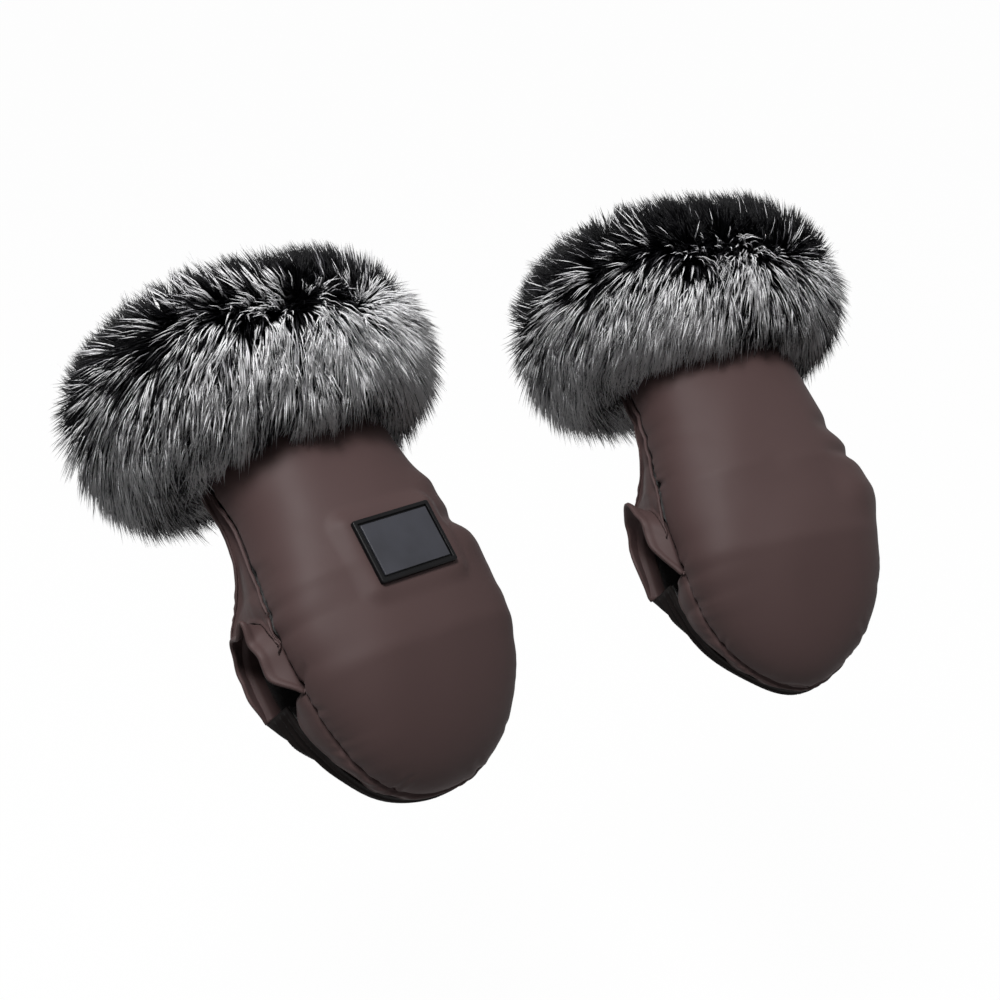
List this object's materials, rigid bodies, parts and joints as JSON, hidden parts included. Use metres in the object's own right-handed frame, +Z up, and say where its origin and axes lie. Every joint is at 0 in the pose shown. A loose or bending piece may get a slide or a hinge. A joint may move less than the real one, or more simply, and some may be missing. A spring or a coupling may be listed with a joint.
{
  "type": "stroller hand muff",
  "caption": "Pair of padded mitten muffs with long fur cuffs that enclose a stroller handlebar; a padded flap on each folds open behind the bar.",
  "frame": {"origin": "on the handlebar's axis, midway between the two muffs", "axes": "+X along the handlebar to the right muff, -Y to the front panels, +Z up"},
  "size_m": [0.5024, 0.2532, 0.2726],
  "materials": {
    "softshell": "smooth matte dark brown woven shell cloth",
    "softshell_dark": "dark brown shell cloth of the flap, in shade",
    "wadding": "white polyester wadding",
    "fleece": "dark brushed fleece",
    "fur": "long-pile faux fur, black roots and grey-white tips",
    "elastic": "black woven elastic",
    "magnet": "nickel-plated disc magnet",
    "patch_rubber": "satin slate-black soft rubber"
  },
  "bodies": {
    "muff_pair": {"left_front_outer_panel": "softshell", "left_front_wadding": "wadding", "left_front_lining": "fleece", "left_rear_outer_panel": "softshell", "left_rear_wadding": "wadding", "left_rear_lining": "fleece", "left_gusset_inboard": "softshell", "left_gusset_outboard": "softshell", "left_gusset_lining_inboard": "fleece", "left_gusset_lining_outboard": "fleece", "left_bar_collar_inboard": "softshell", "left_bar_collar_outboard": "softshell", "left_side_strip": "softshell", "left_hem_magnet_inboard": "magnet", "left_hem_magnet_outboard": "magnet", "left_fur_cuff": "fur", "left_cuff_facing": "fleece", "left_wrist_elastic": "elastic", "right_front_outer_panel": "softshell", "right_front_wadding": "wadding", "right_front_lining": "fleece", "right_rear_outer_panel": "softshell", "right_rear_wadding": "wadding", "right_rear_lining": "fleece", "right_gusset_inboard": "softshell", "right_gusset_outboard": "softshell", "right_gusset_lining_inboard": "fleece", "right_gusset_lining_outboard": "fleece", "right_bar_collar_inboard": "softshell", "right_bar_collar_outboard": "softshell", "right_side_strip": "softshell", "right_hem_magnet_inboard": "magnet", "right_hem_magnet_outboard": "magnet", "right_fur_cuff": "fur", "right_cuff_facing": "fleece", "right_wrist_elastic": "elastic", "left_patch_base": "patch_rubber", "left_patch_field": "patch_rubber"},
    "left_flap": {"left_flap_outer_panel": "softshell_dark", "left_flap_wadding": "wadding", "left_flap_lining": "fleece", "left_flap_magnet_inboard": "magnet", "left_flap_magnet_outboard": "magnet"},
    "right_flap": {"right_flap_outer_panel": "softshell_dark", "right_flap_wadding": "wadding", "right_flap_lining": "fleece", "right_flap_magnet_inboard": "magnet", "right_flap_magnet_outboard": "magnet"}
  },
  "joints": [
    {"name": "left_flap_fold", "type": "hinge", "parent": "muff_pair", "child": "left_flap", "pos_m": [-0.14168, 0.03378, -0.02956], "axis": [0.9881, 0.1536, 0.0041], "range_deg": [0, 110]},
    {"name": "right_flap_fold", "type": "hinge", "parent": "muff_pair", "child": "right_flap", "pos_m": [0.14168, 0.03378, -0.02956], "axis": [0.9881, -0.1536, -0.0041], "range_deg": [0, 110]}
  ]
}
